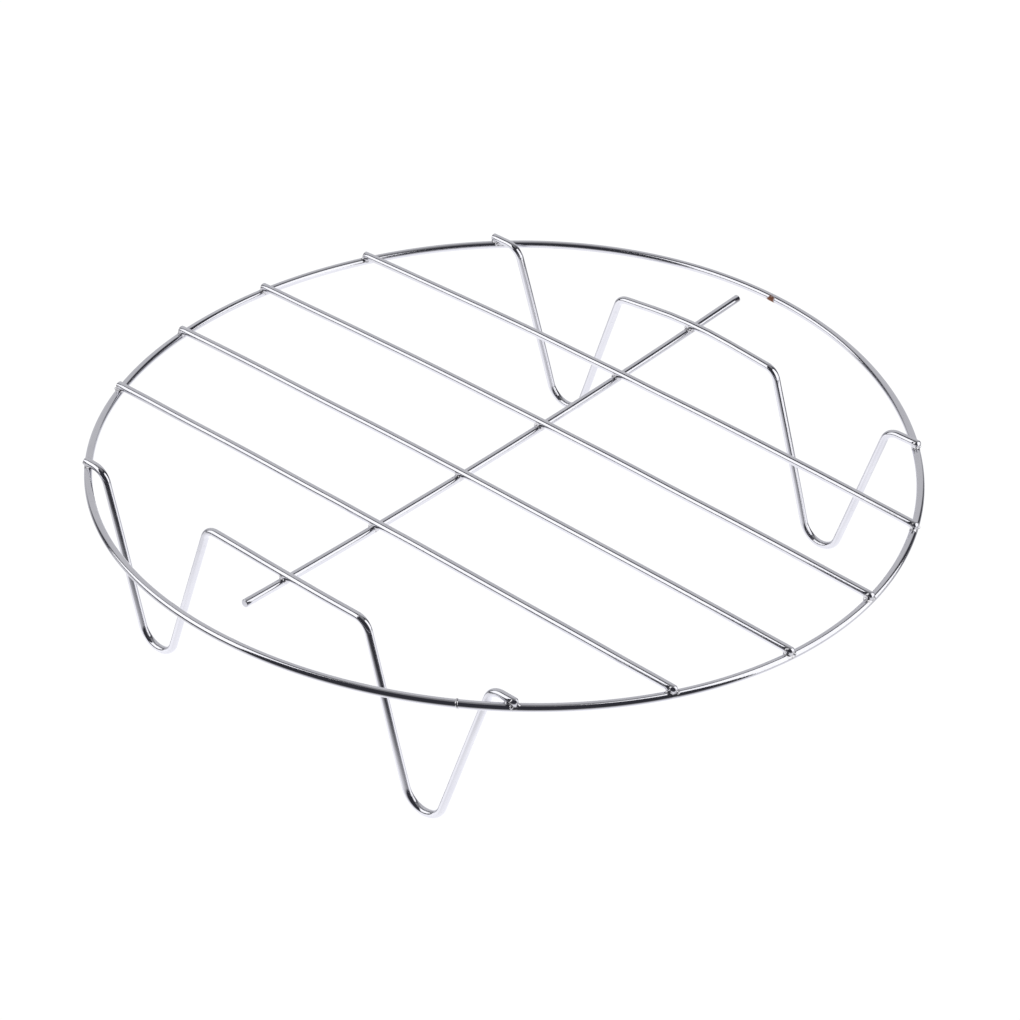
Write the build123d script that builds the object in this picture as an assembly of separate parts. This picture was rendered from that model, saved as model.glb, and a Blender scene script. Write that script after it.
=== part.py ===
from build123d import *
import math
import os

# Round welded wire rack. Millimetres, +Z up. The origin is on the surface that the rack stands on,
# under the centre of the rim. +X runs along the grid wires and +Y along the cross bar. A height
# called a rise is counted from the average height of the rim's centre line.

# Wire and rim
wire_diameter = 2.4
rack_diameter = 240.0
rim_height = 51.7  # standing surface to the rim's centre line, on average
rim_spring = 2.44  # the welded hoop springs out of flat by this much
rim_spring_direction = 9.0  # degrees from +X to the hoop's lowest point
rim_corner_count = 20
rim_arc_share = 0.48  # share of a run between two corners that an arc takes at each of its ends

# Leg wires and grid wires lie side by side on the rim at one pitch
wire_pitch = 34.7
wire_offset = -0.7  # the whole set is this far off the centre, along Y
grid_wire_count = 4
set_down = 0.35  # how deep a weld lets one wire into the other
grid_overhang_left = 0.3  # how far an end passes the rim's centre line
grid_overhang_right = 1.3
crown_reach = 15.0  # a wire bends over the cross bar in an arc that reaches this far to each side

# Cross bar, a shallow arc under the other wires
bar_x = -1.2
bar_skew = -0.7  # degrees off the Y axis
bar_front_y = -102.5
bar_back_y = 109.3
bar_front_rise = 0.65
bar_middle_rise = -0.52
bar_back_rise = 3.53

# Leg wires, with left and right values where there are two. They are bent by hand, so they differ.
shoulder_x = (-73.5, 74.3)  # bends beside the rim
# X and Y of each foot's corner
foot_places = {"front": [(-54.6, -88.2), (51.3, -87.8)], "back": [(-56.5, 92.8), (52.5, 85.9)]}
bridge_x = 30.5  # bend at each end of the raised bridge between the feet
bridge_rise = {"front": 2.5, "back": 1.9}
end_stray = {"front": (0, 1.2), "back": (0, -2.4)}  # how far an end lies off its wire's line, along Y
leg_overhang = {"front": (0.9, 1.5), "back": (2.0, 1.3)}  # past the rim's centre line
shoulder_bend_radius = 5.0
foot_bend_radius = 6.9
bridge_bend_radius = 4.5

# Welds
bead_radius = 1.6
bead_clearance = 0.06  # keeps a bead off the slight curve of its wires
butt_weld_direction = -53.3  # degrees from +X to the joint that closes the rim
butt_gap = 0.2
butt_collar_proud = 0.22
butt_collar_length = 1.1

search_steps = 40
wire_radius = wire_diameter / 2
rim_radius = rack_diameter / 2 - wire_radius
stack_rise = wire_diameter - set_down
bed = Cylinder(wire_radius + bead_clearance, 4 * bead_radius)
leg_wire_index = {"front": 0, "back": grid_wire_count + 1}


def wire_y(index):
    """Y of the front leg wire (0), the grid wires (1 and up) or the back leg wire (last)."""
    return wire_offset + wire_pitch * (index - leg_wire_index["back"] / 2)


def rim_rise(direction):
    """Rise of the rim's centre line at an angle in degrees from +X."""
    return -rim_spring * math.cos(math.radians(2 * (direction - rim_spring_direction)))


def rim_point(y, side):
    """The rim's centre line at y, on its -X or +X side."""
    x = side * math.sqrt(rim_radius**2 - y**2)
    direction = math.degrees(math.atan2(y, x))
    return Vector(x, y, rim_height + rim_rise(direction))


def bar_path():
    """The cross bar's centre line, from the front to the back."""
    middle_y = (bar_front_y + bar_back_y) / 2
    slope = math.tan(math.radians(bar_skew))
    front = Vector(bar_x + slope * bar_front_y, bar_front_y, rim_height + bar_front_rise)
    middle = Vector(bar_x + slope * middle_y, middle_y, rim_height + bar_middle_rise)
    back = Vector(bar_x + slope * bar_back_y, bar_back_y, rim_height + bar_back_rise)
    return ThreePointArc(front, middle, back)


def bar_share(y):
    """How far along the cross bar's centre line y is, from 0 to 1, found by halving."""
    low = 0.0
    high = 1.0
    for _ in range(search_steps):
        middle = (low + high) / 2
        if (bar_line @ middle).Y < y:
            low = middle
        else:
            high = middle
    return low


def bar_point(y):
    """The cross bar's centre line at y."""
    return bar_line @ bar_share(y)


def on_top_of(point):
    """Centre of a wire that is welded down onto a wire centred at a point."""
    return point + Vector(0, 0, stack_rise)


def rim_path():
    """The hoop's centre line, from one side of its butt joint round to the other."""
    step = 360 / rim_corner_count
    half_step = math.radians(step / 2)
    corner_radius = rim_radius / math.cos(half_step)
    joint = Vector(rim_radius, 0, rim_height + rim_rise(butt_weld_direction))
    half_gap = Vector(0, butt_gap / 2, 0)
    points = [(joint + half_gap).rotate(Axis.Z, butt_weld_direction)]
    for index in range(rim_corner_count):
        direction = butt_weld_direction + step * (index + 0.5)
        rise = rim_rise(direction) / math.cos(2 * half_step)
        corner = Vector(corner_radius, 0, rim_height + rise)
        points.append(corner.rotate(Axis.Z, direction))
    points.append((joint - half_gap).rotate(Axis.Z, butt_weld_direction))
    return FilletPolyline(*points, radius=2 * rim_arc_share * rim_radius)


def crown(left, contact, right):
    """The corner and the radius of an arc that passes through a contact, between two far points."""
    chord_z = (left.Z * (right.X - contact.X) + right.Z * (contact.X - left.X)) / (right.X - left.X)
    upward = math.copysign(1, contact.Z - chord_z)
    corner = contact
    for _ in range(search_steps):
        half_turn = math.radians((corner - left).get_angle(right - corner)) / 2
        corner = contact + Vector(0, 0, upward * crown_reach * math.tan(half_turn / 2))
    return corner, crown_reach / math.tan(half_turn)


def grid_wire_path(index):
    """A grid wire's centre line, over the rim, the cross bar and the rim."""
    y = wire_y(index)
    left_end = on_top_of(rim_point(y, -1)) - Vector(grid_overhang_left, 0, 0)
    right_end = on_top_of(rim_point(y, 1)) + Vector(grid_overhang_right, 0, 0)
    corner, radius = crown(left_end, on_top_of(bar_point(y)), right_end)
    return FilletPolyline(left_end, corner, right_end, radius=radius)


def foot_corner(x, y, shoulder, bridge_end):
    """The corner of a leg wire whose bend just touches the standing surface."""
    corner = Vector(x, y, 0)
    for _ in range(search_steps):
        to_shoulder = (shoulder - corner).normalized()
        to_bridge = (bridge_end - corner).normalized()
        half_angle = math.radians(to_shoulder.get_angle(to_bridge)) / 2
        inward = (to_shoulder + to_bridge).normalized()
        bend_centre = corner + inward * (foot_bend_radius / math.sin(half_angle))
        lowest_z = bend_centre.Z - foot_bend_radius - wire_radius
        corner -= Vector(0, 0, lowest_z)
    return corner


def leg_wire_path(side):
    """A leg wire's centre line: rim, foot, bridge over the cross bar, foot, rim."""
    y = wire_y(leg_wire_index[side])
    left = on_top_of(rim_point(y + end_stray[side][0], -1))
    right = on_top_of(rim_point(y + end_stray[side][1], 1))
    left_shoulder = Vector(shoulder_x[0], left.Y, left.Z)
    right_shoulder = Vector(shoulder_x[1], right.Y, right.Z)
    left_foot, right_foot = foot_places[side]
    left_bridge = Vector(-bridge_x, y, rim_height + bridge_rise[side])
    right_bridge = Vector(bridge_x, y, rim_height + bridge_rise[side])

    crown_corner, crown_radius = crown(left_bridge, on_top_of(bar_point(y)), right_bridge)
    points = [
        left - Vector(leg_overhang[side][0], 0, 0),
        left_shoulder,
        foot_corner(*left_foot, left_shoulder, left_bridge),
        left_bridge,
        crown_corner,
        right_bridge,
        foot_corner(*right_foot, right_shoulder, right_bridge),
        right_shoulder,
        right + Vector(leg_overhang[side][1], 0, 0),
    ]
    side_radii = [shoulder_bend_radius, foot_bend_radius, bridge_bend_radius]
    return FilletPolyline(*points, radius=side_radii + [crown_radius] + side_radii[::-1])


def round_wire(path, seam):
    """A round wire along a centre line. Its surface's seam faces away from its welds."""
    start = Plane(origin=path @ 0, x_dir=seam, z_dir=path % 0)
    return sweep(start * Circle(wire_radius), path=path)


def bead(lower_point, lower_direction, upper_direction):
    """Weld metal in the corners where an upper wire crosses a lower one."""
    contact = lower_point + Vector(0, 0, stack_rise / 2)
    crossing_angle = math.radians(lower_direction.get_angle(upper_direction))
    radius = bead_radius / math.sqrt(math.sin(crossing_angle))
    lower_bed = Plane(origin=lower_point, z_dir=lower_direction) * bed
    upper_bed = Plane(origin=on_top_of(lower_point), z_dir=upper_direction) * bed
    return Pos(contact) * Sphere(radius) - lower_bed - upper_bed


def rim_bead(y, side, upper_direction):
    """Weld metal where a wire at y lies on the rim, on its -X or +X side."""
    point = rim_point(y, side)
    turn = math.atan2(point.Y, point.X) - math.radians(rim_spring_direction)
    rim_direction = Vector(-point.Y, point.X, 2 * rim_spring * math.sin(2 * turn))
    return bead(point, rim_direction, upper_direction)


def bar_bead(y):
    """Weld metal where a wire at y lies on the cross bar."""
    return bead(bar_point(y), bar_line % bar_share(y), Vector(1, 0, 0))


def butt_weld(rim):
    """Weld metal that fills the rim's joint and stands proud of the wire as a thin collar."""
    joint = Vector(rim_radius, 0, rim_height + rim_rise(butt_weld_direction))
    place = Plane(
        origin=joint.rotate(Axis.Z, butt_weld_direction),
        z_dir=Vector(0, 1, 0).rotate(Axis.Z, butt_weld_direction),
    )
    collar = Cylinder(wire_radius + butt_collar_proud, butt_collar_length)
    collar = fillet(collar.edges(), butt_collar_proud * 0.9)
    return place * collar - rim


downward = Vector(0, 0, -1)
upward = Vector(0, 0, 1)
bar_line = bar_path()
rim = round_wire(rim_path(), downward)
bar = round_wire(bar_line, downward)
nodes = {"rim_hoop": rim, "rim_butt_weld": butt_weld(rim), "cross_bar": bar}

upper_lines = {}
for number in range(1, grid_wire_count + 1):
    upper_lines[f"grid_wire_{number}"] = (wire_y(number), (0, 0), grid_wire_path(number))
for side, index in leg_wire_index.items():
    upper_lines[f"leg_wire_{side}"] = (wire_y(index), end_stray[side], leg_wire_path(side))

for name, (y, stray, line) in upper_lines.items():
    nodes[name] = round_wire(line, upward) - rim - bar
    nodes[f"weld_{name}_left"] = rim_bead(y + stray[0], -1, line % 0)
    nodes[f"weld_{name}_bar"] = bar_bead(y)
    nodes[f"weld_{name}_right"] = rim_bead(y + stray[1], 1, line % 1)

os.makedirs("parts", exist_ok=True)
for name, shape in nodes.items():
    export_step(shape, f"parts/{name}.step")
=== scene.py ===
import math

import bmesh
import bpy
import numpy as np
from mathutils import Matrix, Vector, noise


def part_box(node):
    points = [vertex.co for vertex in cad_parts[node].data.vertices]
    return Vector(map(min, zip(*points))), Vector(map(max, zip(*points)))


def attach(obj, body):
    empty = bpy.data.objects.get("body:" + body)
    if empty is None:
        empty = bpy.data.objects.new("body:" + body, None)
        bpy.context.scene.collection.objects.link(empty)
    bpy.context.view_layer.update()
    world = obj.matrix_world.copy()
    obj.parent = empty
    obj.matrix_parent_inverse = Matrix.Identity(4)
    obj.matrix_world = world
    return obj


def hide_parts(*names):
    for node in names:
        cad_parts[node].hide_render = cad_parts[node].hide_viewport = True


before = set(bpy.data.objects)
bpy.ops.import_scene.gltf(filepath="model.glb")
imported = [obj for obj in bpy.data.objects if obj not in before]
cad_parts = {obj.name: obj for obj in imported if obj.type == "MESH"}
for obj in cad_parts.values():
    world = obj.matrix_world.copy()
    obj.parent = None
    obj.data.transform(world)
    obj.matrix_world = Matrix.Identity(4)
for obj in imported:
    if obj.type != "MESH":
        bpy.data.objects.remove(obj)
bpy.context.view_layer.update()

# Round welded wire rack, in metres. Everything is placed from the CAD nodes' boxes. The few dimensions
# that a box can't give are listed under Wire and repeat the CAD part's own.

MM = 0.001

# Wire
WIRE_RADIUS = 1.2 * MM
STACK_RISE = 2.05 * MM  # between the centre lines of two wires that are welded together
RIM_SPRING_DIRECTION = math.radians(9.0)
BUTT_DIRECTION = math.radians(-53.3)
GRID_OVERHANG_LEFT = 0.3 * MM
GRID_OVERHANG_RIGHT = 1.3 * MM
LEG_OVERHANG = {"front": (0.9 * MM, 1.5 * MM), "back": (2.0 * MM, 1.3 * MM)}
SHOULDER_X = (-73.5 * MM, 74.3 * MM)
FOOT_PLACES = {
    "front": [(-54.6 * MM, -88.2 * MM), (51.3 * MM, -87.8 * MM)],
    "back": [(-56.5 * MM, 92.8 * MM), (52.5 * MM, 85.9 * MM)],
}
BRIDGE_X = 30.5 * MM
BRIDGE_RISE = {"front": 2.5 * MM, "back": 1.9 * MM}
SHOULDER_BEND = 5.0 * MM
FOOT_BEND = 6.9 * MM
BRIDGE_BEND = 4.5 * MM
CROWN_REACH = 15.0 * MM

# Detail of the meshes
SIDES = 40  # faces round a wire
BUTT_SIDES = 64  # faces round the butt weld's ridge
RIM_STEPS = 360
RUN_STEP = 3.0 * MM  # longest piece of a straight run
BEND_STEP = math.radians(4.5)  # most that a wire turns between two rings
FEWEST_BEND_STEPS = 4
SEARCH_STEPS = 40
UP = Vector((0, 0, 1))
RIGHT = Vector((1, 0, 0))

# How far hand-straightened wire wanders, and where it stays put
BAR_WANDER = 0.1 * MM
WIRE_WANDER = 0.2 * MM
WANDER_PITCH = 26  # noise cells to the metre
WELD_STILL = 4 * MM  # this near to a weld it doesn't wander
WELD_FADE = 14 * MM
FLOOR_STILL = 6 * MM  # nor below this height
FLOOR_FADE = 10 * MM

# Wire ends and bends. Lengths are in millimetres.
BAR_CUTS = (0.22, 0.22)  # rounding of the left or front end and of the right or back end
STRAND_CUTS = (0.2, 1.0)
BEND_FLAT = 0.05  # how much a sharp bend flattens along its own plane
BEND_BULGE = 0.02  # and swells across it
SHARP_RADIUS = 5  # a bend this tight counts in full
END_RINGS = 5
CUT_SLANT = 0.12  # most that a cut face slants, as a share of the wire's radius
CUT_SLANT_DEPTH = 0.8

# Weld metal
WELD_SUBDIVISIONS = 5
WELD_REACH = 2.5 * MM  # a weld's skin ends this far from its contact
RAY_STEP = 0.04 * MM
RAY_STEPS = 60
RAY_HALVINGS = 12
WIRE_FILLET = 0.75 * MM
SPATTER_FILLET = 0.25 * MM
SPATTER_CHANCE = 0.35
STRUCK_SIDE_CHANCE = 0.75
LUMP_COUNT = 60
LUMP_SHARPNESS = 70
LUMP_HEIGHT = 0.035 * MM
SKIN = 0.035  # millimetres over the wires near the contact
SINK = 0.06  # millimetres under the wires' surface at the skin's edge
SKIN_END = 1.5  # millimetres from the contact to where the skin begins to sink
SKIN_FADE = 0.8

# The butt weld's ridge: along the rim and proud of the wire, in millimetres
BUTT_PROFILE = [(-0.95, -0.06), (-0.62, -0.02), (-0.5, 0.04), (-0.38, 0.12), (-0.25, 0.19), (-0.1, 0.22)]
BUTT_PROFILE += [(0.05, 0.2), (0.13, 0.13), (0.19, 0.04), (0.26, -0.01), (0.45, -0.02), (0.95, -0.06)]
BUTT_SLANT = 0.3

# One rust spot on the rim
RUST_DIRECTION = math.radians(88)
RUST_OFFSET = Vector((0, -1.0 * MM, -0.25 * MM))  # from the rim's centre line
RUST_REACH = 1.5 * MM

# Colours
PLATING_DARK = (0.585, 0.585, 0.62)
PLATING_LIGHT = (0.62, 0.62, 0.65)
PLATING_SPOT = (0.46, 0.46, 0.48)
PLATING_HEATED = (0.40, 0.385, 0.38)
RUST_DARK = (0.09, 0.025, 0.012)
RUST_LIGHT = (0.34, 0.12, 0.045)
WELD_DARK = (0.50, 0.495, 0.51)
WELD_LIGHT = (0.62, 0.62, 0.645)
WELD_BURNT = (0.19, 0.165, 0.15)
ROOM = (0.045, 0.045, 0.055)
CEILING = (0.33, 0.33, 0.34)
BACKDROP = (0.74, 0.74, 0.76)
WHITE = (1.0, 1.0, 1.0)
OFF_WHITE = (0.99, 0.99, 0.995)

# Studio
BACKDROP_AZIMUTH = 137.0  # degrees
FLOOR_HALF = 9.0
FLOOR_Z = -0.03 * MM  # just under the feet
CAMERA_AZIMUTH = math.radians(41.83)
CAMERA_ELEVATION = math.radians(34.65)
CAMERA_ROLL = math.radians(1.04)
CAMERA_DISTANCE = 813.2  # millimetres

# Seeds of the random draws. Those of the grid wires, leg wires and welds count up from these.
RIM_SEED = 1
BAR_SEED = 2
GRID_SEED = 10
LEG_SEED = 20
WELD_SEED = 100

UPPER_WIRES = [
    "grid_wire_1",
    "grid_wire_2",
    "grid_wire_3",
    "grid_wire_4",
    "leg_wire_front",
    "leg_wire_back",
]


# ---------------------------------------------------------------- places, from the CAD nodes


def box_centre(node):
    """Middle of a CAD node's box."""
    low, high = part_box(node)
    return (Vector(low) + Vector(high)) / 2


contacts = {}
for wire in UPPER_WIRES:
    for place in ("left", "bar", "right"):
        contacts[wire, place] = box_centre(f"weld_{wire}_{place}")

rim_low, rim_high = (Vector(corner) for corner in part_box("rim_hoop"))
RIM_RADIUS = (rim_high.x - rim_low.x) / 2 - WIRE_RADIUS
RIM_HEIGHT = (rim_high.z + rim_low.z) / 2
RIM_SPRING = (rim_high.z - rim_low.z) / 2 - WIRE_RADIUS


def upper_centre(wire, place):
    """Centre line of an upper wire at one of its welds."""
    return contacts[wire, place] + UP * STACK_RISE / 2


def lower_centre(wire, place):
    """Centre line of the rim or the cross bar under a weld."""
    return contacts[wire, place] - UP * STACK_RISE / 2


def rim_point(direction):
    """The rim's centre line at an angle from +X."""
    rise = -RIM_SPRING * math.cos(2 * (direction - RIM_SPRING_DIRECTION))
    return Vector((RIM_RADIUS * math.cos(direction), RIM_RADIUS * math.sin(direction), RIM_HEIGHT + rise))


def rim_tangent(direction):
    """Unit vector along the rim at an angle from +X."""
    slope = 2 * RIM_SPRING * math.sin(2 * (direction - RIM_SPRING_DIRECTION)) / RIM_RADIUS
    return Vector((-math.sin(direction), math.cos(direction), slope)).normalized()


def through_three(first, middle, last, share):
    """A point on the smooth curve through three points. The share is 0 at the first, 1 at the last."""
    split = (middle - first).length
    split /= split + (last - middle).length
    at_first = (share - split) * (share - 1) / split
    at_middle = share * (share - 1) / (split * (split - 1))
    at_last = share * (share - split) / (1 - split)
    return first * at_first + middle * at_middle + last * at_last


# ---------------------------------------------------------------- centre lines


def dense_run(start, end):
    """Points from start to end, without the end."""
    count = max(1, math.ceil((end - start).length / RUN_STEP))
    return [start.lerp(end, index / count) for index in range(count)]


def rounded_route(corners, radii):
    """A route of straight runs with an arc of its own radius at each inner corner."""
    points = []
    leave = corners[0]
    for index, radius in enumerate(radii):
        before = (corners[index] - corners[index + 1]).normalized()
        after = (corners[index + 2] - corners[index + 1]).normalized()
        half_angle = before.angle(after) / 2
        tangent_length = radius / math.tan(half_angle)
        arc_start = corners[index + 1] + before * tangent_length
        points += dense_run(leave, arc_start)
        middle = corners[index + 1] + (before + after).normalized() * (radius / math.sin(half_angle))
        axis = before.cross(after).normalized()
        turn = math.pi - 2 * half_angle
        count = max(FEWEST_BEND_STEPS, math.ceil(turn / BEND_STEP))
        spoke = arc_start - middle
        for step in range(count):
            points.append(middle + Matrix.Rotation(-turn * step / count, 3, axis) @ spoke)
        leave = corners[index + 1] + after * tangent_length
    points += dense_run(leave, corners[-1])
    points.append(corners[-1])
    return points


def crown(left, contact, right):
    """The corner and the radius of an arc over the cross bar, as the CAD part has it."""
    chord_z = (left.z * (right.x - contact.x) + right.z * (contact.x - left.x)) / (right.x - left.x)
    upward = math.copysign(1, contact.z - chord_z)
    corner = contact.copy()
    for _ in range(SEARCH_STEPS):
        half_turn = (corner - left).angle(right - corner) / 2
        corner = contact + UP * upward * CROWN_REACH * math.tan(half_turn / 2)
    return corner, CROWN_REACH / math.tan(half_turn)


def foot_corner(x, y, shoulder, bridge_end):
    """The corner of a leg wire whose bend just touches the floor."""
    corner = Vector((x, y, 0))
    for _ in range(SEARCH_STEPS):
        to_shoulder = (shoulder - corner).normalized()
        to_bridge = (bridge_end - corner).normalized()
        half_angle = to_shoulder.angle(to_bridge) / 2
        inward = (to_shoulder + to_bridge).normalized()
        lowest = (corner + inward * (FOOT_BEND / math.sin(half_angle))).z - FOOT_BEND - WIRE_RADIUS
        corner.z -= lowest
    return corner


def leg_route(side):
    """A leg wire: rim, shoulder, foot, bridge over the cross bar, foot, shoulder, rim."""
    wire = f"leg_wire_{side}"
    left = upper_centre(wire, "left")
    right = upper_centre(wire, "right")
    over_bar = upper_centre(wire, "bar")
    y = over_bar.y
    left_shoulder = Vector((SHOULDER_X[0], left.y, left.z))
    right_shoulder = Vector((SHOULDER_X[1], right.y, right.z))
    left_foot, right_foot = FOOT_PLACES[side]
    left_bridge = Vector((-BRIDGE_X, y, RIM_HEIGHT + BRIDGE_RISE[side]))
    right_bridge = Vector((BRIDGE_X, y, RIM_HEIGHT + BRIDGE_RISE[side]))
    crown_corner, crown_radius = crown(left_bridge, over_bar, right_bridge)
    corners = [
        left - RIGHT * LEG_OVERHANG[side][0],
        left_shoulder,
        foot_corner(*left_foot, left_shoulder, left_bridge),
        left_bridge,
        crown_corner,
        right_bridge,
        foot_corner(*right_foot, right_shoulder, right_bridge),
        right_shoulder,
        right + RIGHT * LEG_OVERHANG[side][1],
    ]
    radii = [SHOULDER_BEND, FOOT_BEND, BRIDGE_BEND]
    return rounded_route(corners, radii + [crown_radius] + radii[::-1])


def grid_route(wire):
    """A grid wire springs in one smooth curve over the cross bar."""
    left = upper_centre(wire, "left")
    right = upper_centre(wire, "right")
    over_bar = upper_centre(wire, "bar")
    length = (right - left).length
    start = -GRID_OVERHANG_LEFT / length
    end = 1 + GRID_OVERHANG_RIGHT / length
    count = math.ceil(length / RUN_STEP)
    shares = [start + (end - start) * index / count for index in range(count + 1)]
    return [through_three(left, over_bar, right, share) for share in shares]


def bar_route():
    """The cross bar, from its front end to its back end."""
    low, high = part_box("cross_bar")
    first = lower_centre("leg_wire_front", "bar")
    middle = lower_centre("grid_wire_2", "bar").lerp(lower_centre("grid_wire_3", "bar"), 0.5)
    last = lower_centre("leg_wire_back", "bar")
    start = (low[1] - first.y) / (last.y - first.y)
    end = (high[1] - first.y) / (last.y - first.y)
    count = math.ceil((high[1] - low[1]) / RUN_STEP)
    shares = [start + (end - start) * index / count for index in range(count + 1)]
    return [through_three(first, middle, last, share) for share in shares]


# ---------------------------------------------------------------- meshes


def new_object(name, verts, faces, material, node):
    """A mesh piece that stands for one CAD node."""
    mesh = bpy.data.meshes.new(name)
    mesh.from_pydata([tuple(vert) for vert in verts], [], faces)
    mesh.validate()
    mesh.polygons.foreach_set("use_smooth", [True] * len(mesh.polygons))
    mesh.materials.append(material)
    piece = bpy.data.objects.new(name, mesh)
    bpy.context.scene.collection.objects.link(piece)
    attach(piece, "root")
    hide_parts(node)
    return piece


def frames_along(points, closed):
    """Tangent and two normals at each point, turning as little as possible from one to the next."""
    count = len(points)
    tangents = []
    for index in range(count):
        if closed:
            ahead = points[(index + 1) % count]
            behind = points[index - 1]
        else:
            ahead = points[min(index + 1, count - 1)]
            behind = points[max(index - 1, 0)]
        tangents.append((ahead - behind).normalized())
    side = UP.cross(tangents[0])
    if side.length < 0.1:
        side = RIGHT.cross(tangents[0])
    side.normalize()
    frames = []
    for tangent in tangents:
        side = (side - tangent * side.dot(tangent)).normalized()
        frames.append((tangent, side, tangent.cross(side)))
    return frames


def wander(points, seed, amount):
    """Hand-straightened wire isn't quite straight. It stays put near its welds and near the floor."""
    anchors = list(contacts.values())
    moved = []
    for point in points:
        near = min((point - anchor).length for anchor in anchors)
        weight = min(1.0, max(0.0, (near - WELD_STILL) / WELD_FADE))
        weight *= min(1.0, max(0.0, (point.z - FLOOR_STILL) / FLOOR_FADE))
        weight = weight * weight * (3 - 2 * weight)
        place = point * WANDER_PITCH + Vector((seed * 7.3, seed * 3.1, 0))
        push = Vector((0, noise.noise(place), noise.noise(place + Vector((9.2, 4.4, 1.7)))))
        moved.append(point + push * amount * weight)
    return moved


def bend_weights(points):
    """How sharply each point bends, from 0 to 1, and towards which side."""
    weights = [(0.0, UP)]
    for index in range(1, len(points) - 1):
        before = points[index] - points[index - 1]
        after = points[index + 1] - points[index]
        turn = before.angle(after) if before.length and after.length else 0.0
        sharp = turn / max(0.5 * (before.length + after.length), 1e-6) * SHARP_RADIUS * MM
        inward = after.normalized() - before.normalized()
        weights.append((min(1.0, sharp), inward.normalized() if inward.length > 1e-9 else UP))
    weights.append((0.0, UP))
    smooth = []
    for index in range(len(weights)):
        near = weights[max(0, index - 2) : index + 3]
        smooth.append((sum(weight for weight, _ in near) / len(near), weights[index][1]))
    return smooth


def end_rings(tip, outward, rounding):
    """Places and scales of the rings that close a cut end. A wide flat end gets one more, just proud."""
    rings = []
    for step in range(1, END_RINGS + 1):
        angle = math.radians(90 * step / END_RINGS)
        along = -rounding * (1 - math.sin(angle))
        rings.append((along, 1 - rounding / WIRE_RADIUS * (1 - math.cos(angle))))
    if rings[-1][1] > 0.5:
        rings.append((0.02 * MM, 0.45))
    return [(tip + outward * along, scale) for along, scale in rings]


def tube_faces(ring_count, sides, closed=False):
    """Faces between neighbouring rings, and from the last ring to the first if the tube is closed."""
    faces = []
    for ring in range(ring_count if closed else ring_count - 1):
        here = ring * sides
        following = (ring + 1) % ring_count * sides
        for step in range(sides):
            turned = (step + 1) % sides
            faces.append((here + step, here + turned, following + turned, following + step))
    return faces


def lay_out_wire(mesh, marks, total, closed):
    """UVs in metres, round the wire and along it. A mark holds each vertex's turn and its length along."""
    layer = mesh.uv_layers.new(name="Wire")
    around = 2 * math.pi * WIRE_RADIUS
    for polygon in mesh.polygons:
        turns = [marks[vertex][0] for vertex in polygon.vertices]
        wraps = max(turns) - min(turns) > 0.5
        longs = [marks[vertex][1] for vertex in polygon.vertices]
        seam = closed and max(longs) - min(longs) > 0.5 * total
        for corner, vertex in zip(polygon.loop_indices, polygon.vertices):
            turn, along = marks[vertex]
            if wraps and turn < 0.5:
                turn += 1
            if seam and along < 0.5 * total:
                along += total
            layer.data[corner].uv = (turn * around, along)


def wire_piece(name, node, points, material, seed, cuts=BAR_CUTS, closed=False):
    """A round wire along its centre line, with cut ends, a little flattened in its bends."""
    frames = frames_along(points, closed)
    bends = [(0.0, UP)] * len(points) if closed else bend_weights(points)
    verts = []
    lengths = []
    travelled = 0.0
    rng = np.random.default_rng(seed)
    for index, point in enumerate(points):
        if index:
            travelled += (point - points[index - 1]).length
        lengths.append(travelled)
    total = travelled
    rings = []
    for index, point in enumerate(points):
        _, side, other = frames[index]
        weight, inward = bends[index]
        rings.append((point, side, other, weight, inward, 1.0, lengths[index]))
    if not closed:
        for end, sign in ((0, -1), (-1, 1)):
            rounding = cuts[end] * MM
            tangent, side, other = frames[end]
            outward = tangent * sign
            slant = [rng.uniform(-CUT_SLANT, CUT_SLANT), rng.uniform(-CUT_SLANT, CUT_SLANT)]
            closing = []
            for place, scale in end_rings(points[end], outward, rounding):
                closing.append((place, side, other, 0.0, (outward, slant), scale, lengths[end]))
            if end == 0:
                rings = closing[::-1] + rings[1:]
            else:
                rings = rings[:-1] + closing
    marks = []
    for point, side, other, weight, inward, scale, along in rings:
        for step in range(SIDES):
            angle = 2 * math.pi * step / SIDES
            spoke = side * math.cos(angle) + other * math.sin(angle)
            radius = WIRE_RADIUS * scale
            place = point + spoke * radius
            if isinstance(inward, tuple):
                outward, slant = inward
                tilt = slant[0] * math.cos(angle) + slant[1] * math.sin(angle)
                place -= outward * abs(tilt) * radius * CUT_SLANT_DEPTH
            elif weight > 0:
                facing = spoke.dot(inward)
                place -= spoke * weight * BEND_FLAT * MM * facing * facing
                place += spoke * weight * BEND_BULGE * MM * (1 - facing * facing)
            verts.append(place)
            marks.append((step / SIDES, along))
    faces = tube_faces(len(rings), SIDES, closed)
    if not closed:
        first_middle = len(verts)
        verts.append(sum((verts[step] for step in range(SIDES)), Vector()) / SIDES)
        last_start = (len(rings) - 1) * SIDES
        verts.append(sum((verts[last_start + step] for step in range(SIDES)), Vector()) / SIDES)
        for step in range(SIDES):
            turned = (step + 1) % SIDES
            faces.append((first_middle, turned, step))
            faces.append((first_middle + 1, last_start + step, last_start + turned))
        marks += [(0.0, 0.0), (0.0, total)]
    piece = new_object(name, verts, faces, material, node)
    lay_out_wire(piece.data, marks, total, closed)
    mark_heat(piece.data)
    return piece


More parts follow.
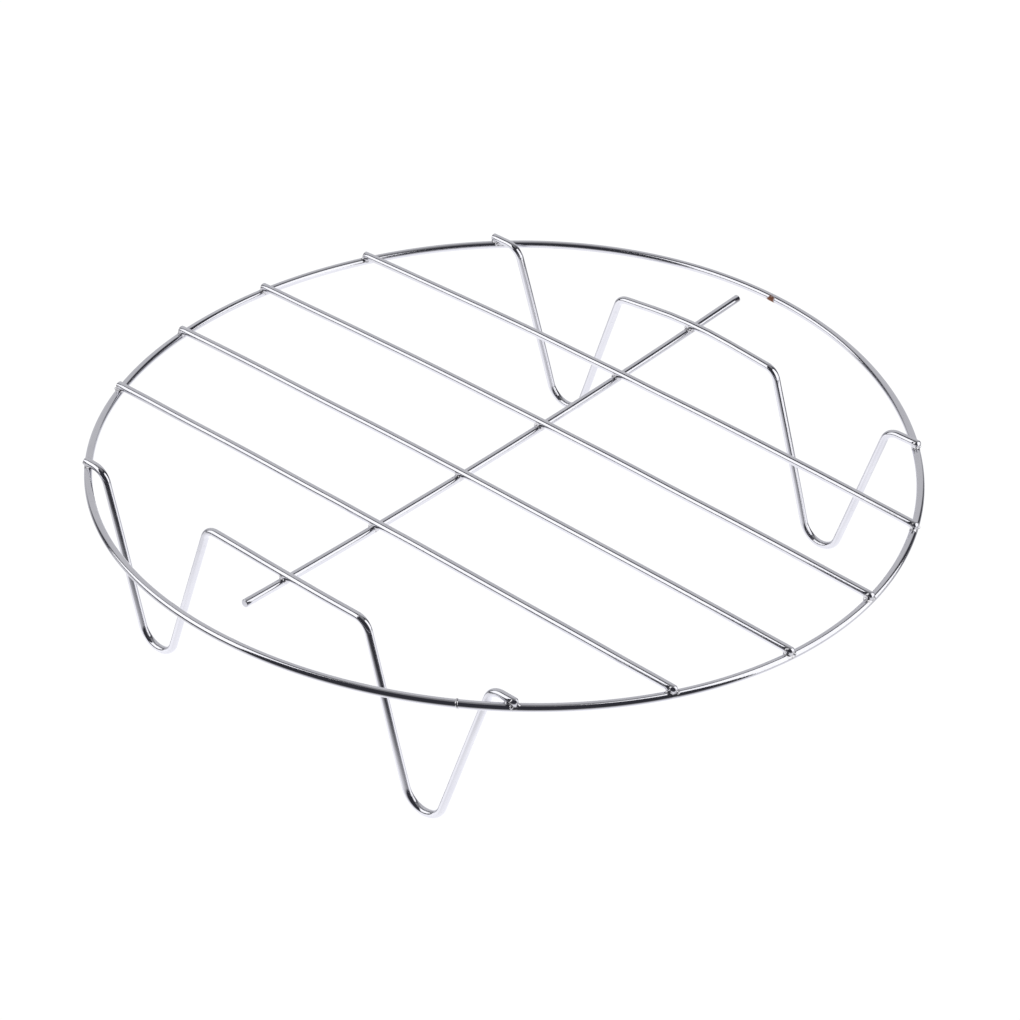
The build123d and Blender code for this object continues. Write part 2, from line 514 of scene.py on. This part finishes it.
def mark_heat(mesh):
    """How near each vertex is to a weld, for the plating's colour and wear there."""
    places = list(contacts.values()) + [rim_point(BUTT_DIRECTION)]
    anchors = np.array([tuple(place) for place in places])
    coords = np.empty(len(mesh.vertices) * 3)
    mesh.vertices.foreach_get("co", coords)
    coords = coords.reshape(-1, 3)
    near = np.full(len(coords), 1.0)
    for anchor in anchors:
        near = np.minimum(near, np.linalg.norm(coords - anchor, axis=1))
    heat = np.exp(-np.maximum(near - 1.3 * MM, 0) / (1.5 * MM))
    attribute = mesh.attributes.new("heat", "FLOAT", "POINT")
    attribute.data.foreach_set("value", heat.astype(np.float32))


def smooth_union(first, second, reach):
    """Distance to two shapes that flow into each other over a reach."""
    blend = np.clip(0.5 + 0.5 * (second - first) / reach, 0, 1)
    return second + (first - second) * blend - reach * blend * (1 - blend)


def weld_piece(wire, place, lower_direction, upper_direction, material, seed):
    """Weld metal round a crossing: a skin over both wires, with a fillet and some spatter in the corners.
    Every ray from the contact meets it once, so it is worked out ray by ray."""
    rng = np.random.default_rng(seed)
    contact = np.array(contacts[wire, place])
    ball = bmesh.new()
    bmesh.ops.create_icosphere(ball, subdivisions=WELD_SUBDIVISIONS, radius=1)
    rays = np.array([tuple(vert.co) for vert in ball.verts])
    faces = [tuple(vert.index for vert in face.verts) for face in ball.faces]
    ball.free()

    lower = np.array(lower_direction.normalized())
    upper = np.array(upper_direction.normalized())
    rise = np.array((0, 0, STACK_RISE / 2))
    is_rim = place != "bar"
    outward = -1 if place == "left" else 1
    if wire.startswith("leg"):
        overhangs = LEG_OVERHANG[wire.removeprefix("leg_wire_")]
    else:
        overhangs = (GRID_OVERHANG_LEFT, GRID_OVERHANG_RIGHT)
    overhang = overhangs[0] if place == "left" else overhangs[1]

    # Spatter sits in the corners between the wires, more of it on the side that was struck last.
    corner_one = lower + upper
    corner_one /= np.linalg.norm(corner_one)
    corner_two = lower - upper
    corner_two /= np.linalg.norm(corner_two)
    beads = []
    for corner in (corner_one, -corner_one, corner_two, -corner_two):
        struck_last = place == "bar" and corner[1] < 0
        if rng.random() < (STRUCK_SIDE_CHANCE if struck_last else SPATTER_CHANCE):
            distance = rng.uniform(1.2, 1.5) * MM
            height = rng.uniform(-0.4, 0.0) * MM
            size = rng.uniform(0.3, 0.5) * MM
            beads.append((corner * distance + np.array((0, 0, height)), size))
    lump_ways = rng.normal(size=(LUMP_COUNT, 3))
    lump_ways /= np.linalg.norm(lump_ways, axis=1)[:, None]
    lump_sizes = rng.normal(scale=LUMP_HEIGHT, size=LUMP_COUNT)
    lumps = (np.exp(LUMP_SHARPNESS * (rays @ lump_ways.T - 1)) * lump_sizes).sum(axis=1)

    def distance_at(radius):
        """How far outside the weld metal each ray is at its own radius."""
        spots = rays * radius[:, None]
        from_lower = spots + rise
        from_upper = spots - rise
        along_lower = from_lower @ lower
        along_upper = from_upper @ upper
        lower_gap = np.linalg.norm(from_lower - along_lower[:, None] * lower, axis=1) - WIRE_RADIUS
        upper_gap = np.linalg.norm(from_upper - along_upper[:, None] * upper, axis=1) - WIRE_RADIUS
        if is_rim:
            past_end = along_upper * outward - overhang
            upper_gap = np.maximum(upper_gap, past_end)
            if place == "right":
                dome = from_upper - upper * outward * (overhang - WIRE_RADIUS)
                domed_gap = np.linalg.norm(dome, axis=1) - WIRE_RADIUS
                upper_gap = np.where(past_end > -WIRE_RADIUS, domed_gap, upper_gap)
        gap = smooth_union(lower_gap, upper_gap, WIRE_FILLET)
        for middle, size in beads:
            bead_gap = np.linalg.norm(spots - middle, axis=1) - size
            gap = smooth_union(gap, bead_gap, SPATTER_FILLET)
        fade = np.clip((radius / MM - SKIN_END) / SKIN_FADE, 0, 1)
        skin = (SKIN * (1 - fade) - SINK * fade) * MM
        return gap - skin - lumps * (1 - fade)

    radius = np.full(len(rays), WELD_REACH)
    found = distance_at(radius) < 0
    for _ in range(RAY_STEPS):
        inner = np.where(found, radius, radius - RAY_STEP)
        hit = ~found & (distance_at(inner) < 0)
        radius = inner
        found |= hit
    low = radius.copy()
    high = np.minimum(radius + RAY_STEP, WELD_REACH)
    for _ in range(RAY_HALVINGS):
        middle = (low + high) / 2
        inside = distance_at(middle) < 0
        low = np.where(inside, middle, low)
        high = np.where(inside, high, middle)
    verts = contact + rays * low[:, None]
    node = f"weld_{wire}_{place}"
    piece = new_object(f"{node}_bead", verts, faces, material, node)
    mark_heat(piece.data)
    return piece


def butt_piece(material):
    """The rim's butt weld: one thin slanted ridge round the wire, steeper on one flank."""
    verts = []
    for along, proud in BUTT_PROFILE:
        direction = BUTT_DIRECTION + along * MM / RIM_RADIUS
        middle = rim_point(direction)
        tangent = rim_tangent(direction)
        side = Vector((math.cos(direction), math.sin(direction), 0))
        other = tangent.cross(side)
        for step in range(BUTT_SIDES):
            angle = 2 * math.pi * step / BUTT_SIDES
            spoke = side * math.cos(angle) + other * math.sin(angle)
            rough = noise.noise(Vector((math.cos(angle) * 2.1, math.sin(angle) * 2.1, along * 1.5)))
            height = proud * min(1.1, 1 + 0.4 * rough) if proud > 0 else proud
            shift = 0.06 * MM * noise.noise(Vector((math.sin(angle) * 1.7, 4.2, math.cos(angle) * 1.7)))
            shift += BUTT_SLANT * MM * math.sin(angle) * max(0.0, 1 - abs(along) / 0.9)
            verts.append(middle + spoke * (WIRE_RADIUS + height * MM) + tangent * shift)
    faces = tube_faces(len(BUTT_PROFILE), BUTT_SIDES)
    faces.append(tuple(range(BUTT_SIDES))[::-1])
    faces.append(tuple((len(BUTT_PROFILE) - 1) * BUTT_SIDES + step for step in range(BUTT_SIDES)))
    piece = new_object("rim_butt_weld_ridge", verts, faces, material, "rim_butt_weld")
    mark_heat(piece.data)
    return piece


# ---------------------------------------------------------------- materials


def node_tree(name):
    """A new material with one principled shader: the material, its tree and the shader."""
    material = bpy.data.materials.new(name)
    material.use_nodes = True
    tree = material.node_tree
    tree.nodes.clear()
    output = tree.nodes.new("ShaderNodeOutputMaterial")
    shader = tree.nodes.new("ShaderNodeBsdfPrincipled")
    tree.links.new(shader.outputs["BSDF"], output.inputs["Surface"])
    return material, tree, shader


def add_noise(tree, vector, scale, detail=3.0, roughness=0.5):
    """Noise over a vector. The scale is in cells to the vector's unit."""
    texture = tree.nodes.new("ShaderNodeTexNoise")
    texture.inputs["Scale"].default_value = scale
    texture.inputs["Detail"].default_value = detail
    texture.inputs["Roughness"].default_value = roughness
    tree.links.new(vector, texture.inputs["Vector"])
    return texture.outputs["Fac"]


def add_range(tree, value, low, high, to_low, to_high):
    """A value carried from one range to another, held at both ends."""
    mapping = tree.nodes.new("ShaderNodeMapRange")
    mapping.inputs["From Min"].default_value = low
    mapping.inputs["From Max"].default_value = high
    mapping.inputs["To Min"].default_value = to_low
    mapping.inputs["To Max"].default_value = to_high
    tree.links.new(value, mapping.inputs["Value"])
    return mapping.outputs["Result"]


def add_math(tree, operation, first, second):
    """One operation on two numbers or outputs."""
    node = tree.nodes.new("ShaderNodeMath")
    node.operation = operation
    for socket, value in zip(node.inputs, (first, second)):
        if isinstance(value, (int, float)):
            socket.default_value = value
        else:
            tree.links.new(value, socket)
    return node.outputs["Value"]


def add_mix(tree, factor, first, second):
    """A mix of two colours or colour outputs."""
    node = tree.nodes.new("ShaderNodeMix")
    node.data_type = "RGBA"
    tree.links.new(factor, node.inputs["Factor"])
    for socket, value in ((node.inputs[6], first), (node.inputs[7], second)):
        if isinstance(value, tuple):
            socket.default_value = (*value, 1)
        else:
            tree.links.new(value, socket)
    return node.outputs[2]


def add_bump(tree, height, strength, distance, normal=None):
    """A bumped normal, over an earlier one if there is one."""
    bump = tree.nodes.new("ShaderNodeBump")
    bump.inputs["Strength"].default_value = strength
    bump.inputs["Distance"].default_value = distance
    tree.links.new(height, bump.inputs["Height"])
    if normal is not None:
        tree.links.new(normal, bump.inputs["Normal"])
    return bump.outputs["Normal"]


def chrome_material(name, rust=None):
    """Bright plating over drawn wire. A place and a reach for rust put one spot of it there."""
    material, tree, shader = node_tree(name)
    shader.inputs["Metallic"].default_value = 1.0
    coordinates = tree.nodes.new("ShaderNodeTexCoord")
    place = coordinates.outputs["Object"]
    stretch = tree.nodes.new("ShaderNodeMapping")
    stretch.inputs["Scale"].default_value = (9000, 90, 1)
    tree.links.new(coordinates.outputs["UV"], stretch.inputs["Vector"])
    lines = add_noise(tree, stretch.outputs["Vector"], 1.0, 4.0, 0.6)
    heat = tree.nodes.new("ShaderNodeAttribute")
    heat.attribute_name = "heat"
    heat = heat.outputs["Fac"]

    cloud = add_noise(tree, place, 60, 3.0, 0.55)
    spots = add_range(tree, add_noise(tree, place, 900, 2.0, 0.5), 0.62, 0.72, 0, 1)
    peel = add_noise(tree, place, 1400, 2.0, 0.5)
    pits = add_range(tree, add_noise(tree, place, 5200, 1.0, 0.5), 0.68, 0.8, 0, 1)

    colour = add_mix(tree, add_range(tree, cloud, 0.35, 0.65, 0, 1), PLATING_DARK, PLATING_LIGHT)
    colour = add_mix(tree, add_math(tree, "MULTIPLY", spots, 0.25), colour, PLATING_SPOT)
    heat_patch = add_math(tree, "MULTIPLY", heat, add_range(tree, peel, 0.35, 0.65, 0.35, 0.8))
    colour = add_mix(tree, heat_patch, colour, PLATING_HEATED)

    rough = add_range(tree, cloud, 0.3, 0.7, 0.045, 0.1)
    rough = add_math(tree, "ADD", rough, add_math(tree, "MULTIPLY", lines, 0.04))
    rough = add_math(tree, "ADD", rough, add_math(tree, "MULTIPLY", spots, 0.1))
    rough = add_math(tree, "ADD", rough, add_math(tree, "MULTIPLY", heat_patch, 0.16))

    normal = add_bump(tree, peel, 0.12, 0.00004)
    normal = add_bump(tree, lines, 0.1, 0.00001, normal)
    normal = add_bump(tree, add_math(tree, "MULTIPLY", pits, -1.0), 0.3, 0.00002, normal)

    if rust is not None:
        centre, reach = rust
        away = tree.nodes.new("ShaderNodeVectorMath")
        away.operation = "DISTANCE"
        tree.links.new(place, away.inputs[0])
        away.inputs[1].default_value = centre
        ragged = add_math(tree, "MULTIPLY", add_noise(tree, place, 1500, 4.0, 0.65), reach * 1.4)
        edge = add_math(tree, "ADD", away.outputs["Value"], ragged)
        patch = add_range(tree, edge, reach * 1.45, reach * 1.75, 1, 0)
        grain = add_noise(tree, place, 4200, 4.0, 0.7)
        brown = add_mix(tree, add_range(tree, grain, 0.35, 0.65, 0, 1), RUST_DARK, RUST_LIGHT)
        colour = add_mix(tree, patch, colour, brown)
        rough = add_math(tree, "ADD", rough, add_math(tree, "MULTIPLY", patch, 0.6))
        tree.links.new(add_math(tree, "SUBTRACT", 1.0, patch), shader.inputs["Metallic"])
        crust = add_math(tree, "MULTIPLY", patch, grain)
        normal = add_bump(tree, crust, 0.8, 0.0001, normal)

    tree.links.new(colour, shader.inputs["Base Color"])
    tree.links.new(rough, shader.inputs["Roughness"])
    tree.links.new(normal, shader.inputs["Normal"])
    return material


def weld_material():
    """The same plating over rough weld metal, duller and uneven, with burnt specks."""
    material, tree, shader = node_tree("plated_weld")
    shader.inputs["Metallic"].default_value = 1.0
    place = tree.nodes.new("ShaderNodeTexCoord").outputs["Object"]
    grain = add_noise(tree, place, 1900, 4.0, 0.6)
    ripple = add_noise(tree, place, 700, 2.0, 0.5)
    burnt = add_range(tree, add_noise(tree, place, 1300, 3.0, 0.6), 0.56, 0.68, 0, 1)
    colour = add_mix(tree, add_range(tree, grain, 0.35, 0.65, 0, 1), WELD_DARK, WELD_LIGHT)
    colour = add_mix(tree, add_math(tree, "MULTIPLY", burnt, 0.7), colour, WELD_BURNT)
    rough = add_range(tree, grain, 0.3, 0.7, 0.1, 0.24)
    rough = add_math(tree, "ADD", rough, add_math(tree, "MULTIPLY", burnt, 0.15))
    normal = add_bump(tree, ripple, 0.25, 0.0002)
    normal = add_bump(tree, grain, 0.25, 0.00005, normal)
    tree.links.new(colour, shader.inputs["Base Color"])
    tree.links.new(rough, shader.inputs["Roughness"])
    tree.links.new(normal, shader.inputs["Normal"])
    return material


def floor_material():
    """White table. The camera sees plain white. Reflections see a glow painted on it instead: a painted pool
    of light round the rack that fades into the painted dark of the room away from it, and into a painted
    reflection of the pale backdrop behind it."""
    material = bpy.data.materials.new("white_table_painted_glow")
    material.use_nodes = True
    tree = material.node_tree
    tree.nodes.clear()
    output = tree.nodes.new("ShaderNodeOutputMaterial")
    place = tree.nodes.new("ShaderNodeTexCoord").outputs["Object"]
    cloud = add_noise(tree, place, 3.0, 2.0, 0.5)

    white = tree.nodes.new("ShaderNodeEmission")
    tree.links.new(add_mix(tree, cloud, WHITE, OFF_WHITE), white.inputs["Color"])
    white.inputs["Strength"].default_value = 1.04

    # Painted light, seen only by reflections: the table glows as a painted pool of light round the rack, with
    # painted dark and a painted backdrop reflection beyond it.
    away = tree.nodes.new("ShaderNodeVectorMath")
    away.operation = "LENGTH"
    tree.links.new(place, away.inputs[0])
    backward = tree.nodes.new("ShaderNodeVectorMath")
    backward.operation = "DOT_PRODUCT"
    tree.links.new(place, backward.inputs[0])
    backward.inputs[1].default_value = towards(BACKDROP_AZIMUTH, 0)
    # painted reflection by direction: dim on the camera side, pale towards the backdrop
    far = add_range(tree, backward.outputs["Value"], -0.05, 0.15, 0.07, 0.74)
    near = add_range(tree, away.outputs["Value"], 0.12, 0.25, 1, 0)
    # painted pool of light: full glow within 0.12 m of the rack, fading to the painted reflection by 0.25 m
    painted_light_pool = add_math(tree, "MULTIPLY", add_math(tree, "SUBTRACT", 1.38, far), near)
    # the glowing table seen by reflections; its strength is painted light and painted shade
    table = tree.nodes.new("ShaderNodeEmission")
    table.inputs["Color"].default_value = (0.985, 0.985, 1.02, 1)
    tree.links.new(add_math(tree, "ADD", painted_light_pool, far), table.inputs["Strength"])

    sheen = tree.nodes.new("ShaderNodeBsdfGlossy")
    sheen.inputs["Color"].default_value = (0.95, 0.95, 0.97, 1)
    sheen.inputs["Roughness"].default_value = 0.12
    grazing = tree.nodes.new("ShaderNodeLayerWeight")
    grazing.inputs["Blend"].default_value = 0.5
    glossy_table = tree.nodes.new("ShaderNodeMixShader")
    tree.links.new(add_math(tree, "POWER", grazing.outputs["Facing"], 1.85), glossy_table.inputs["Fac"])
    tree.links.new(table.outputs["Emission"], glossy_table.inputs[1])
    tree.links.new(sheen.outputs["BSDF"], glossy_table.inputs[2])

    seen = tree.nodes.new("ShaderNodeLightPath")
    chosen = tree.nodes.new("ShaderNodeMixShader")
    tree.links.new(seen.outputs["Is Camera Ray"], chosen.inputs["Fac"])
    tree.links.new(glossy_table.outputs["Shader"], chosen.inputs[1])
    tree.links.new(white.outputs["Emission"], chosen.inputs[2])
    tree.links.new(chosen.outputs["Shader"], output.inputs["Surface"])
    return material


# ---------------------------------------------------------------- studio


def make_floor():
    """The table that the rack stands on."""
    mesh = bpy.data.meshes.new("studio_floor")
    signs = [(-1, -1), (1, -1), (1, 1), (-1, 1)]
    corners = [(x * FLOOR_HALF, y * FLOOR_HALF, FLOOR_Z) for x, y in signs]
    mesh.from_pydata(corners, [], [(0, 1, 2, 3)])
    mesh.materials.append(floor_material())
    floor = bpy.data.objects.new("studio_floor", mesh)
    bpy.context.scene.collection.objects.link(floor)


def towards(azimuth, elevation):
    """Unit vector at an angle from +X and a height above the horizon, in degrees."""
    turn = math.radians(azimuth)
    lift = math.radians(elevation)
    return Vector((math.cos(turn) * math.cos(lift), math.sin(turn) * math.cos(lift), math.sin(lift)))


def softbox(name, centre, facing, width, height, radiance, lean=0.0):
    """A large upright soft light. It leans by an angle within its own plane."""
    light = bpy.data.lights.new(name, "AREA")
    light.shape = "RECTANGLE"
    light.size = width
    light.size_y = height
    light.energy = math.pi * radiance * width * height
    lamp = bpy.data.objects.new(name, light)
    across = UP.cross(facing)
    turned = Matrix.Rotation(math.radians(lean), 3, facing) @ Matrix((across, -UP, -facing)).transposed()
    lamp.matrix_world = Matrix.Translation(centre) @ turned.to_4x4()
    lamp.visible_camera = False
    bpy.context.scene.collection.objects.link(lamp)


def make_lights():
    """One softbox at the left of the camera and one at its right."""
    left = Vector((-0.663, -0.43, 0.52))
    right = Vector((0.25, 0.165, 0.265))
    softbox("softbox_left", left, Vector((0, 1, 0)), width=1.074, height=0.86, radiance=1.65)
    softbox("softbox_right", right, -RIGHT, width=0.39, height=0.53, radiance=1.6, lean=-10)


def make_world():
    """The room: a pale backdrop behind the rack, a dim ceiling, and dark elsewhere. The camera sees white."""
    world = bpy.data.worlds.new("studio_room")
    world.use_nodes = True
    tree = world.node_tree
    tree.nodes.clear()
    output = tree.nodes.new("ShaderNodeOutputWorld")
    background = tree.nodes.new("ShaderNodeBackground")
    direction = tree.nodes.new("ShaderNodeTexCoord").outputs["Generated"]

    def lobe(way, inner, outer):
        """1 inside the inner angle from a direction, 0 beyond the outer angle."""
        dot = tree.nodes.new("ShaderNodeVectorMath")
        dot.operation = "DOT_PRODUCT"
        tree.links.new(direction, dot.inputs[0])
        dot.inputs[1].default_value = way
        ramp = tree.nodes.new("ShaderNodeMapRange")
        ramp.interpolation_type = "SMOOTHSTEP"
        ramp.inputs["From Min"].default_value = math.cos(math.radians(outer))
        ramp.inputs["From Max"].default_value = math.cos(math.radians(inner))
        tree.links.new(dot.outputs["Value"], ramp.inputs["Value"])
        return ramp.outputs["Result"]

    colour = add_mix(tree, lobe(towards(100, 84), inner=14, outer=32), ROOM, CEILING)
    behind = lobe(towards(BACKDROP_AZIMUTH, 24), inner=37, outer=52)
    colour = add_mix(tree, behind, colour, BACKDROP)
    seen = tree.nodes.new("ShaderNodeLightPath")
    colour = add_mix(tree, seen.outputs["Is Camera Ray"], colour, WHITE)
    tree.links.new(colour, background.inputs["Color"])
    tree.links.new(background.outputs["Background"], output.inputs["Surface"])
    bpy.context.scene.world = world


def make_camera():
    """A long lens, looking down on the rack."""
    flat = math.cos(CAMERA_ELEVATION)
    back_x = math.sin(CAMERA_AZIMUTH) * flat
    back_y = -math.cos(CAMERA_AZIMUTH) * flat
    back = Vector((back_x, back_y, math.sin(CAMERA_ELEVATION)))
    level = Vector((math.cos(CAMERA_AZIMUTH), math.sin(CAMERA_AZIMUTH), 0))
    above = back.cross(level)
    right = level * math.cos(CAMERA_ROLL) + above * math.sin(CAMERA_ROLL)
    up = above * math.cos(CAMERA_ROLL) - level * math.sin(CAMERA_ROLL)
    target = Vector((20.98 * MM, -20.87 * MM, RIM_HEIGHT))
    data = bpy.data.cameras.new("studio_camera")
    data.sensor_width = 36
    data.lens = 102.93
    data.clip_start = 0.01
    data.clip_end = 60
    camera = bpy.data.objects.new("studio_camera", data)
    place = Matrix.Translation(target + back * CAMERA_DISTANCE * MM)
    camera.matrix_world = place @ Matrix((right, up, back)).transposed().to_4x4()
    bpy.context.scene.collection.objects.link(camera)
    bpy.context.scene.camera = camera


# ---------------------------------------------------------------- making


make_camera()
make_floor()
make_world()
make_lights()
bpy.context.scene.view_settings.view_transform = "Standard"

rust_place = rim_point(RUST_DIRECTION) + RUST_OFFSET
chrome = chrome_material("chromed_wire_plating")
chrome_rim = chrome_material("chromed_rim_plating", (tuple(rust_place), RUST_REACH))
weld = weld_material()

rim_points = [rim_point(2 * math.pi * index / RIM_STEPS) for index in range(RIM_STEPS)]
wire_piece("rim_hoop_wire", "rim_hoop", rim_points, chrome_rim, RIM_SEED, closed=True)
bar_points = wander(bar_route(), BAR_SEED, BAR_WANDER)
wire_piece("cross_bar_wire", "cross_bar", bar_points, chrome, BAR_SEED)
for number in range(1, 5):
    node = f"grid_wire_{number}"
    seed = GRID_SEED + number
    route = wander(grid_route(node), seed, WIRE_WANDER)
    wire_piece(f"{node}_strand", node, route, chrome, seed, STRAND_CUTS)
for number, side in enumerate(("front", "back")):
    node = f"leg_wire_{side}"
    seed = LEG_SEED + number
    route = wander(leg_route(side), seed, WIRE_WANDER)
    wire_piece(f"{node}_strand", node, route, chrome, seed, STRAND_CUTS)

bar_low = lower_centre("leg_wire_front", "bar")
bar_high = lower_centre("leg_wire_back", "bar")
for number, wire in enumerate(UPPER_WIRES):
    for place_number, place in enumerate(("left", "bar", "right")):
        contact = contacts[wire, place]
        if place == "bar":
            lower_way = (bar_high - bar_low).normalized()
            upper_way = RIGHT
        else:
            lower_way = rim_tangent(math.atan2(contact.y, contact.x))
            inward = (upper_centre(wire, "bar") - upper_centre(wire, place)).normalized()
            along_wire = inward * (1 if place == "left" else -1)
            upper_way = RIGHT if wire.startswith("leg") else along_wire
        weld_piece(wire, place, lower_way, upper_way, weld, WELD_SEED + 10 * number + place_number)
butt_piece(weld)
